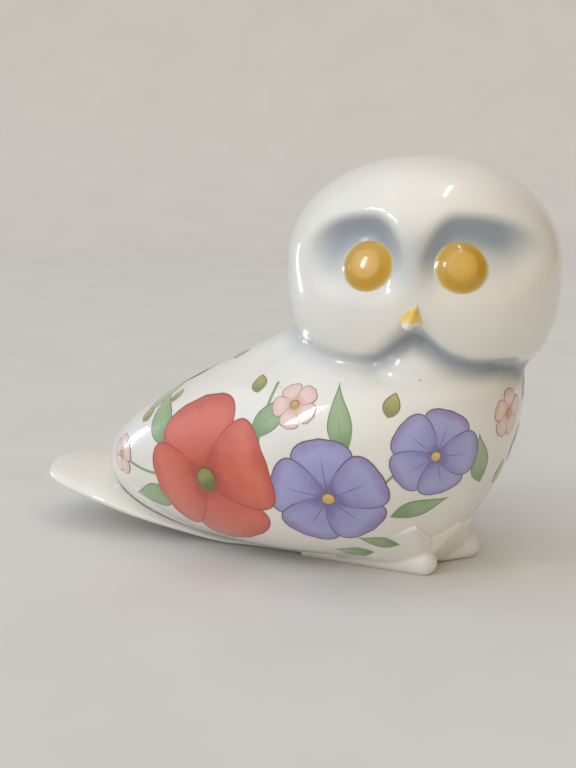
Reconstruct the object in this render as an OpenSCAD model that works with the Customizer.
// Porcelain owl figurine: a hollow cast body with a turned head luted on it, a tail that runs
// forward under the belly as a sole, two feet, raised round eyes and a small beak.
// Millimetres. The breast points to +X, the tail to -X, the owl's right flank to -Y, and +Z is up.
// The table is z = 0. The middle of the whole figure's box, seen from above, is the origin.

/* [Body] */
// Length of the body from the rump to the front of the breast
body_length = 89; // [82:0.5:96]
// Width of the body across its flanks, before the keel draws them in
body_width = 54; // [50:0.5:60]
// How far the breast stands out ahead of the toes
breast_reach = 14.3; // [12:0.1:17]
// Height of the fullest place of the breast above the table
breast_height = 37; // [34:0.5:40]
// Height of the rearmost place of the rump above the table
rump_height = 15; // [13:0.5:18]
// Height of the widest place of the flanks above the table
flank_height = 23; // [20:0.5:27]
// How much the belly narrows to a keel between the feet, as a share of its width
keel_pinch = 0.32; // [0.2:0.02:0.44]
// Thickness of the cast porcelain wall
wall = 3; // [2.2:0.1:3.6]
// Bore of the vent that lets steam out of the hollow in the kiln
vent_d = 7; // [5:0.5:8]

/* [Head] */
// Width of the head across the cheeks
head_width = 52.4; // [50:0.2:56]
// Depth of the head from the face to the back
head_depth = 43; // [40:0.5:46]
// Height of the crown above the middle of the head
crown_height = 20.5; // [18:0.5:23]
// Depth of the full head form below its middle, most of which the neck cuts off
chin_depth = 25.5; // [24:0.5:28]
// Height of the middle of the head above the table
head_height = 59.8; // [57:0.2:63]
// How far the middle of the head stands behind the front of the breast
head_setback = 19.8; // [18:0.2:23]
// Angle of the face from straight to the owl's right, turned back towards the breast
head_turn = 14; // [0:1:30]
// Height of the neck seam above the table, under the middle of the head
neck_height = 44.6; // [43:0.2:47]
// Slope of the neck seam, down towards the breast
neck_slope = 8.5; // [4:0.5:11]
// Thickness of the luting slip between the head and the body
slip_thickness = 0.6; // [0.3:0.1:1]

/* [Face] */
// Distance between the middles of the eyes
eye_spacing = 16.8; // [15.6:0.2:18]
// Rise of the eyes above the middle of the head
eye_rise = 1.2; // [0:0.2:2.6]
// Diameter of an eye
eye_d = 9.4; // [8.4:0.2:10.4]
// Diameter of the raised boss in an eye
eye_boss_d = 6; // [4.6:0.2:6.8]
// How far the rim of an eye stands out of its socket
eye_proud = 1.1; // [0.6:0.1:1.6]
// Depth of an eye's seat in the head
eye_seat = 1; // [0.6:0.1:1.4]
// Clearance round an eye or the beak in its seat, which the glaze fills
seat_clearance = 0.1; // [0.05:0.05:0.2]
// Angle that each eye looks away from straight ahead
eye_splay = 20; // [8:1:26]
// Reach of a socket from the middle of its eye up to the brow
socket_up = 9.4; // [8.6:0.2:10.4]
// Reach of a socket from the middle of its eye to the bridge between the eyes
socket_in = 9; // [8:0.2:10]
// Reach of a socket from the middle of its eye to the temple
socket_out = 13.4; // [12:0.2:15]
// Depth of the socket under the brow
socket_depth = 3.2; // [1.4:0.1:3.4]
// Drop of the beak below the eyes
beak_drop = 8.2; // [7.4:0.2:9.2]
// Height of the beak
beak_height = 4.4; // [3.6:0.2:5.2]
// Width of the beak
beak_width = 3.8; // [3:0.2:4.6]
// How far the beak's tip stands out of the face
beak_reach = 2.8; // [1.8:0.2:3.4]

/* [Tail and sole] */
// How far the tail reaches behind the rump
tail_reach = 15.4; // [13:0.4:19]
// Width of the tail where it leaves the rump
tail_width = 27.5; // [23:0.5:31]
// Thickness of the tail at its root
tail_thickness = 5.6; // [4.4:0.2:7]
// Height of the tail's tip above the table
tail_lift = 9; // [7:0.2:10]
// Width of the sole under the belly
sole_width = 14; // [12:0.5:17]
// Thickness of the sole under the belly
sole_thickness = 1.6; // [1.2:0.1:2.4]
// Length of the flat of the sole that rests on the table
sole_length = 32; // [28:0.5:36]

/* [Feet] */
// Length of a foot from heel to toe
foot_length = 24.5; // [21:0.5:27]
// Height of a toe above the table
toe_height = 5.2; // [4.4:0.2:6]
// Height of a heel above the table
heel_height = 1.6; // [1.2:0.1:2.4]
// Distance between the middles of the toes
toe_spacing = 13.6; // [12.4:0.2:15]
// Distance between the middles of the heels
heel_spacing = 10.6; // [9:0.2:12]
// How far the left toe stands ahead of the right one
left_lead = 4.4; // [0:0.2:6]
// Height above the table at which an ankle meets the breast
ankle_height = 11.8; // [10.8:0.1:12.6]
// Distance between the outsides of the ankles
ankle_spread = 27.2; // [26:0.2:29]
// How far an ankle stands behind the right toe
ankle_setback = 1.3; // [0.6:0.1:2.4]
// Length of an ankle's flap along the belly
flap_length = 15; // [12:0.5:17]
// Height of a flap's rear end above the table
flap_rear_height = 5.4; // [4.6:0.1:6.2]
// Thickness of a flap's edge
flap_edge = 1.2; // [0.8:0.1:1.6]
// How far the toes reach ahead of the sole
toe_reach = 9; // [7.5:0.5:11]

/* [Hidden] */

around = 64;          // points around the body and the head
body_rings = 16;      // rings in each half of the body, below and above its girdle
head_rings = 26;      // rings of the head from the neck seam to the crown
inner_rings = 12;     // rings of each hollow

// Places along the body, with x = 0 at the tip of the right toe
breast_x = breast_reach;
rump_x = breast_x - body_length;
sole_front = -toe_reach;
sole_rear = sole_front - sole_length;
head_x = breast_x - head_setback;
tail_x = rump_x - tail_reach;

// A cubic curve through four control points
function bezier(p, t) =
    pow(1 - t, 3) * p[0] + 3 * pow(1 - t, 2) * t * p[1] + 3 * (1 - t) * t * t * p[2] + pow(t, 3) * p[3];

function smooth(a, b, v) =
    let (t = min(1, max(0, (v - a) / (b - a))))
    t * t * (3 - 2 * t);

// Head form. Its own axes are x to the owl's left, y out of the face and z up, from the head's middle.
head_round = 2.08;    // squareness of the head seen from the side: 2 is an ellipse
face_share = 0.4;     // how much closer the points lie on the face than at the back

// Radius of the head at a height, as a share of its full radius, for a form thinned by in
function head_share(z, in) =
    let (h = (z < 0 ? chin_depth : crown_height) - in)
    pow(max(0, 1 - pow(abs(z) / h, head_round)), 1 / head_round);

socket_soft = 0.42;   // softness of a socket's edge, as a share of its reach
notch_depth = 3.6;    // depth of the notch under the beak
notch_half = 6.5;     // half its width
notch_reach = 3.4;    // how far it fades up and down
notch_gap = 3.2;      // how far under the beak it is deepest

// How far the face is pressed in at x and z: a socket round each eye, deepest under its brow
function socket_press(x, z) =
    let (dx = abs(x) - eye_spacing / 2)
    let (dz = z - eye_rise)
    let (off = norm([dx / (dx < 0 ? socket_in : socket_out), dz / socket_up]))
    let (edge = smooth(1 - socket_soft, 1 + socket_soft / 3, off))
    socket_depth * (1 - edge) * smooth(-socket_up, socket_up / 2, dz);

// A notch under the beak that parts the cheeks
notch_z = eye_rise - beak_drop - beak_height / 2 - notch_gap;
function chin_press(x, z) =
    notch_depth * exp(-pow(x / notch_half, 2)) * exp(-pow((z - notch_z) / notch_reach, 2));

function face_press(x, z) = socket_press(x, z) + chin_press(x, z);

// A point of the head at an angle round from the face and a latitude, in the head's own axes
function head_local(turn, lat, in) =
    let (z = (lat < 0 ? chin_depth - in : crown_height - in) * sin(lat))
    let (r = head_share(z, in))
    let (x = (head_width / 2 - in) * r * sin(turn))
    let (y = (head_depth / 2 - in) * r * cos(turn))
    [x, y - face_press(x, z) * smooth(0, head_depth / 4, y), z];

// The same point in the figure's axes
function head_place(p) =
    [head_x + p.x * cos(head_turn) + p.y * sin(head_turn),
     p.x * sin(head_turn) - p.y * cos(head_turn),
     head_height + p.z];

function head_point(turn, lat, in = 0) = head_place(head_local(turn, lat, in));

// Height of a point above the neck seam's plane
function above_seam(p) = p.z - neck_height + tan(neck_slope) * (p.x - head_x);

// Latitude at which the head's meridian crosses the seam, raised by lift
function seam_lat(turn, in, lift, low = -80, high = 0, left = 22) =
    left == 0 ? (low + high) / 2 :
    let (mid = (low + high) / 2)
    above_seam(head_point(turn, mid, in)) > lift / cos(neck_slope)
        ? seam_lat(turn, in, lift, low, mid, left - 1)
        : seam_lat(turn, in, lift, mid, high, left - 1);

turns = [for (i = [0 : around - 1]) 360 * i / around - face_share * 180 / PI * sin(360 * i / around)];

// Rings of the head from the seam to just under the crown
function head_grid(in, lift, rings) =
    let (start = [for (a = turns) seam_lat(a, in, lift)])
    [for (j = [0 : rings - 1])
        [for (i = [0 : around - 1]) head_point(turns[i], start[i] + (90 - start[i]) * j / rings, in)]];

neck_ring = head_grid(0, 0, 1)[0];
neck_ring_in = head_grid(wall, 0, 1)[0];

// Body form. Three rails run from the sole over the girdle to the neck: rear, front and side.
girdle_turn = [for (p = neck_ring) atan2(p.y, p.x - head_x)];
throat_x = max([for (p = neck_ring) p.x]);
nape_x = min([for (p = neck_ring) p.x]);
throat = [throat_x, neck_height - tan(neck_slope) * (throat_x - head_x)];
nape = [nape_x, neck_height - tan(neck_slope) * (nape_x - head_x)];
neck_side = (max([for (p = neck_ring) p.y]) - min([for (p = neck_ring) p.y])) / 2;

// How far the rails keep their direction: at the sole, below and above the girdle, and at the neck
rear_pull = [0.66, 0.66, 0.34, 0.34];
front_pull = [0.5, 0.48, 0.5, 0.5];
side_pull = [0.62, 0.52, 0.42, 0.3];
rear_flare = 19;      // how far the back flares out below the nape
front_flare = 1;      // the same below the throat
side_flare = 4;       // and below the cheeks

sole_inset = 0.4;     // how far the hollow draws in along the sole, as a share of the wall

// One rail: from the sole out to the girdle, then in to the neck, where it flares
function rail(low, girdle, top, pull, flare, t, in) =
    let (out = girdle.x > low.x ? 1 : -1)
    let (g = [girdle.x - out * in, girdle.y])
    let (s = [low.x - out * in * sole_inset, low.y + in])
    let (n = [top.x - out * in, top.y])
    t <= 0.5
        ? bezier([s, [s.x + (g.x - s.x) * pull[0], s.y], [g.x, g.y - (g.y - s.y) * pull[1]], g], 2 * t)
        : bezier([g, [g.x, g.y + (n.y - g.y) * pull[2]],
                  [n.x + out * flare, n.y - (n.y - g.y) * pull[3]], n], 2 * t - 1);

function rear_rail(t, in) =
    rail([sole_rear, sole_thickness], [rump_x, rump_height], nape, rear_pull, rear_flare, t, in);
function front_rail(t, in) =
    rail([sole_front, sole_thickness], [breast_x, breast_height], throat, front_pull, front_flare, t, in);

climb_power = 0.66;   // how much faster the flanks climb than the breast: 1 is as fast

// The flanks climb faster than the breast, so that the belly narrows to a keel between the feet
function flank_climb(t) = t < 0.5 ? pow(2 * t, climb_power) / 2 : t;
function side_rail(t, in) =
    rail([sole_width / 2, sole_thickness], [body_width / 2, flank_height], [neck_side, neck_height],
         side_pull, side_flare, flank_climb(t), in);

neck_ease = 0.82;     // where the body begins to take on the neck's outline, along the rails
widest_share = 0.42;  // widest place of the body, as a share of the way from the breast to the rump

// A point of an egg-shaped ring through the three rails
function egg(rear, front, side, a) =
    let (mid = (front.x + rear.x) / 2)
    let (wide = front.x - (front.x - rear.x) * widest_share)
    [mid + (front.x - rear.x) / 2 * cos(a) + (wide - mid) * pow(sin(a), 2),
     side.x * sin(a),
     side.y * pow(sin(a), 2)
        + pow(cos(a), 2) * ((front.y + rear.y) / 2 + (front.y - rear.y) / 2 * cos(a))];

keel_start = 0.5;     // where the keel is full, as a share of the breast's reach
keel_top = 0.9;       // where it ends, as a share of the breast's height

// The lower part of the breast is drawn in towards the keel
function keel(p) =
    let (ahead = smooth(sole_rear, breast_x * keel_start, p.x))
    let (below = 1 - smooth(0, breast_height * keel_top, p.z))
    [p.x, p.y * (1 - keel_pinch * ahead * below), p.z];

// A ring of the body, whose last part eases into the outline of the neck
function body_ring(t, in) =
    let (rear = rear_rail(t, in), front = front_rail(t, in), side = side_rail(t, in))
    let (rear1 = rear_rail(1, in), front1 = front_rail(1, in), side1 = side_rail(1, in))
    let (ease = smooth(neck_ease, 1, t))
    let (neck = in == 0 ? neck_ring : neck_ring_in)
    [for (i = [0 : around - 1])
        keel(egg(rear, front, side, girdle_turn[i]))
            + ease * (neck[i] - egg(rear1, front1, side1, girdle_turn[i]))];

function body_grid(in, rings) = [for (j = [0 : 2 * rings]) body_ring(j / (2 * rings), in)];

// Faces between the rings of a grid
function strip(rings, n, first = 0) =
    [for (j = [0 : rings - 2], i = [0 : n - 1])
        let (a = first + j * n + i, b = first + j * n + (i + 1) % n)
        each [[a, a + n, b + n], [a, b + n, b]]];

// Faces from a ring to a point
function fan(n, first, tip) = [for (i = [0 : n - 1]) [first + i, tip, first + (i + 1) % n]];

function reversed(list) = [for (i = [len(list) - 1 : -1 : 0]) list[i]];
function turned(faces) = [for (f = faces) reversed(f)];
function flat(grid) = [for (ring = grid, p = ring) p];
function middle(ring) = [for (k = [0 : 2]) [for (p = ring) p[k]] * [for (p = ring) 1] / len(ring)];

// A closed solid from rings, with a point at each end; flip where the rings run clockwise
module loft(grid, first_end, last_end, flip = false) {
    n = len(grid[0]);
    m = len(grid);
    faces = concat(strip(m, n), turned(fan(n, 0, m * n)), fan(n, (m - 1) * n, m * n + 1));
    polyhedron(concat(flat(grid), [first_end, last_end]), flip ? turned(faces) : faces, 10);
}

// A cup: an outer skin and an inner skin joined by a rim at their first rings
module cup(outer, inner, outer_end, inner_end, flip = false) {
    n = len(outer[0]);
    a = len(outer) * n;
    b = len(inner) * n;
    rim = [for (i = [0 : n - 1])
        let (k = (i + 1) % n)
        each [[i, k, a + k], [i, a + k, a + i]]];
    faces = concat(strip(len(outer), n), fan(n, a - n, a + b),
                   turned(strip(len(inner), n, a)), turned(fan(n, a + b - n, a + b + 1)), rim);
    polyhedron(concat(flat(outer), flat(inner), [outer_end, inner_end]), flip ? turned(faces) : faces, 10);
}

// The figure's middle, from its rearmost and foremost places
head_front_x = max([for (lat = [-20 : 4 : 20], a = turns) head_point(a, lat).x]);
middle_x = (tail_x + max(head_front_x, breast_x)) / 2;

module figure() {
    translate([-middle_x, 0, 0])
        children();
}

module body_form() {
    grid = body_grid(0, body_rings);
    loft(grid, middle(grid[0]), middle(grid[2 * body_rings]));
}

module vent() {
    translate([(sole_front + sole_rear) / 2, 0, -1])
        cylinder(d = vent_d, h = sole_thickness + wall + 4, $fn = 32);
}

module body_shell() {
    outer = reversed(body_grid(0, body_rings));
    inner = reversed(body_grid(wall, inner_rings / 2));
    color("ivory")
        difference() {
            cup(outer, inner, middle(outer[2 * body_rings]), middle(inner[inner_rings]), true);
            vent();
        }
}

module neck_slip() {
    upper = head_grid(0, slip_thickness, 1)[0];
    upper_in = head_grid(wall, slip_thickness, 1)[0];
    grid = [neck_ring_in, neck_ring, upper, upper_in];
    n = around;
    inside = [for (i = [0 : n - 1])
        let (k = (i + 1) % n)
        each [[3 * n + i, i, k], [3 * n + i, k, 3 * n + k]]];
    color("lavender")
        polyhedron(flat(grid), concat(strip(4, n), inside), 10);
}

module head_shell() {
    outer = head_grid(0, slip_thickness, head_rings);
    inner = head_grid(wall, slip_thickness, inner_rings);
    color("white")
        difference() {
            cup(outer, inner, head_point(0, 90), head_point(0, 90, wall));
            for (side = [-1, 1])
                eye_at(side)
                    translate([0, 0, -eye_seat])
                        cylinder(r = eye_d / 2 + seat_clearance, h = eye_seat + 2 * socket_depth, $fn = 48);
            beak_at()
                translate([0, 0, -beak_seat])
                    linear_extrude(beak_seat + beak_reach)
                        beak_outline(seat_clearance);
        }
}

// How far the face stands out at x and z, in the head's own axes
function face_y(x, z) =
    let (r = head_share(z, 0))
    head_depth / 2 * sqrt(max(0, r * r - pow(2 * x / head_width, 2))) - face_press(x, z);

// Put a piece on the face, with its +Z out of the face
module on_face(x, z, splay, pitch) {
    translate(head_place([x, face_y(x, z), z]))
        rotate([0, 0, head_turn + splay])
            rotate([90 - pitch, 0, 0])
                children();
}

eye_pitch = 8;        // angle that the eyes look up
beak_pitch = -10;     // angle that the beak points up, so it points down

module eye_at(side) {
    on_face(side * eye_spacing / 2, eye_rise, side * eye_splay, eye_pitch)
        children();
}

beak_seat = 1.2;      // depth of the beak's seat in the face
beak_tip_r = 0.6;     // rounding of the beak's tip
beak_base_share = 0.5;    // width of its lower edge, as a share of its full width
beak_wide_at = 0.4;   // how far below its middle it is widest, as a share of half its height
beak_tip_at = 0.36;   // how far below its middle the tip stands, as a share of its height
ridge_at = 0.08;      // how far above its middle the ridge stands, as a share of its height
ridge_share = 0.55;   // how far the ridge stands out, as a share of the tip's reach

module beak_at() {
    on_face(0, eye_rise - beak_drop, 0, beak_pitch)
        children();
}

module beak_outline(grow = 0) {
    w = beak_width / 2 + grow;
    h = beak_height / 2 + grow;
    low = w * beak_base_share;
    polygon([[0, h], [-w, -h * beak_wide_at], [-low, -h], [low, -h], [w, -h * beak_wide_at]]);
}

boss_rise = 0.7;      // rise of the boss above the groove round it
groove = 0.1;         // depth of that groove below the rim
rim_r = 0.9;          // rounding of the rim

// An eye: a seat, a domed rim, a groove and a raised boss
module eye(side) {
    rim = eye_d / 2;
    boss = eye_boss_d / 2;
    dome = [for (t = [0 : 15 : 90]) [boss * sin(t), eye_proud + boss_rise * cos(t) - groove]];
    edge = [for (t = [0 : 15 : 90]) [rim - rim_r + rim_r * sin(t), eye_proud - rim_r + rim_r * cos(t)]];
    color("goldenrod")
        eye_at(side)
            rotate_extrude($fn = 48)
                polygon(concat([[0, -eye_seat]], dome, edge, [[rim, -eye_seat]]));
}

module right_eye() {
    eye(-1);
}

module left_eye() {
    eye(1);
}

// The beak: a pyramid with a rounded tip and ridge on its seat
module beak() {
    color("gold")
        beak_at() {
            translate([0, 0, -beak_seat])
                linear_extrude(beak_seat)
                    beak_outline();
            hull() {
                linear_extrude(beak_tip_r / 3)
                    beak_outline();
                translate([0, -beak_height * beak_tip_at, beak_reach - beak_tip_r])
                    sphere(beak_tip_r, $fn = 24);
                translate([0, beak_height * ridge_at, beak_reach * ridge_share - beak_tip_r])
                    sphere(beak_tip_r, $fn = 24);
            }
        }
}

ground_off = 0.4;     // depth ground off the sole and the feet after firing, so that they stand flat

// The tail and the sole are one tongue: half its width, its underside and its top along its length
sole_lead = 2;        // how far the sole runs on under the breast
sole_nose = 7;        // length over which its front end rounds off
root_in = 6;          // how far under the rump the tail is at its widest
sole_taper = 4;       // how far into the flat the sole has come down to its own width
sole_rise_at = 5;     // how far behind the flat the tail begins to rise
rise_power = 1;       // how the tail's rise gathers towards its tip: 1 is a straight slope
tip_power = 0.12;     // how bluntly the tail thins out to its tip
plan_power = 3;       // how late the tail's sides begin to draw in towards its tip
plan_round = 0.4;     // how bluntly its plan rounds off there
edge_power = 0.85;    // how square the tongue's edges are: 1 is an ellipse
tongue_front = sole_front + sole_lead;
tongue_length = tongue_front - tail_x;

function tongue_half(x) =
    let (root = rump_x + root_in)
    let (along = smooth(root, sole_rear + sole_taper, x))
    let (full = tail_width / 2 * (1 - along) + sole_width / 2 * along)
    let (tip = max(0, min(1, (x - tail_x) / (root - tail_x))))
    let (nose = max(0, min(1, (tongue_front - x) / sole_nose)))
    full * pow(1 - pow(1 - tip, plan_power), plan_round) * sqrt(1 - pow(1 - nose, 2));

sole_rise = sole_rear - sole_rise_at;
function tongue_low(x) =
    (tail_lift + ground_off) * pow(max(0, (sole_rise - x) / (sole_rise - tail_x)), rise_power) - ground_off;
function tongue_deep(x) =
    let (along = smooth(rump_x, sole_rear, x))
    let (tip = max(0, min(1, (x - tail_x) / (rump_x + root_in - tail_x))))
    let (full = tail_thickness * (1 - along) + (sole_thickness + 2 * ground_off) * along)
    full * pow(1 - pow(1 - tip, 2), tip_power);

function tongue_ring(x) =
    let (w = tongue_half(x), low = tongue_low(x), deep = tongue_deep(x))
    [for (a = [0 : 15 : 345])
        [x, w * sign(cos(a)) * pow(abs(cos(a)), edge_power), max(0, low + deep / 2 + deep / 2 * sin(a))]];

tongue_steps = 34;
tongue_xs = [for (i = [1 : tongue_steps - 1])
    tail_x + tongue_length * (1 - cos(180 * i / tongue_steps)) / 2];

module tongue() {
    grid = [for (x = tongue_xs) tongue_ring(x)];
    end = tongue_xs[0];
    loft(grid, [tail_x, 0, tongue_low(end) + tongue_deep(end) / 2],
         [tongue_front, 0, tongue_deep(tongue_front) / 2]);
}

module tail_sole() {
    color("oldlace")
        difference() {
            tongue();
            body_form();
            vent();
        }
}

flap_flare = 1.4;     // how far a flap's rear end lies further out than the ankle
web_side = 4.6;       // how far the left foot's inner web reaches past the middle of the breast
web_rise = 10.4;      // height of that web
web_fall = 7.4;       // height of its low end
web_run = 5;          // its length along the breast
web_slant = 0.7;      // how far its low end lies further in, as a share of its length
web_d_share = 0.8;    // its thickness at the toe, as a share of the toe's height
instep_d_share = 0.9; // thickness of the instep, as a share of the toe's height
instep_back = 0.06;   // how far it lies behind the toe, as a share of the toe's height
instep_out = 0.15;    // how far it lies outside the toe, as a share of the toe's height

module ball(place, d) {
    translate(place)
        sphere(d = d, $fn = 24);
}

module table() {
    translate([-2 * body_length, -2 * body_width, -wall])
        cube([4 * body_length, 4 * body_width, wall]);
}

// A foot: a toe that narrows to the heel, and a flap that climbs from it to the ankle on the breast
module foot(side) {
    lead = side > 0 ? left_lead : 0;
    toe = [lead - toe_height / 2, side * toe_spacing / 2, toe_height / 2 - ground_off];
    heel = [lead - foot_length, side * heel_spacing / 2, heel_height / 2 - ground_off];
    ankle = [-ankle_setback, side * ankle_spread / 2, ankle_height - flap_edge / 2];
    rear = [ankle.x - flap_length, ankle.y + side * flap_flare, flap_rear_height];
    instep = toe + [-toe_height * instep_back, side * toe_height * instep_out, 0];
    color("snow")
        difference() {
            union() {
                hull() {
                    ball(toe, toe_height);
                    ball(heel, heel_height);
                }
                hull() {
                    ball(instep, toe_height * instep_d_share);
                    ball(heel, heel_height);
                    ball(ankle, flap_edge);
                    ball(rear, flap_edge);
                }
                if (side > 0)
                    hull() {
                        ball(toe - [toe_height / 2, 0, 0], toe_height * web_d_share);
                        ball([left_lead, -web_side, web_rise], flap_edge);
                        ball([left_lead - web_run, -web_side - web_run * web_slant, web_fall], flap_edge);
                    }
            }
            body_form();
            tongue();
            table();
        }
}

module right_foot() {
    foot(-1);
}

module left_foot() {
    foot(1);
}

figure() {
    body_shell();
    neck_slip();
    head_shell();
    right_eye();
    left_eye();
    beak();
    tail_sole();
    right_foot();
    left_foot();
}
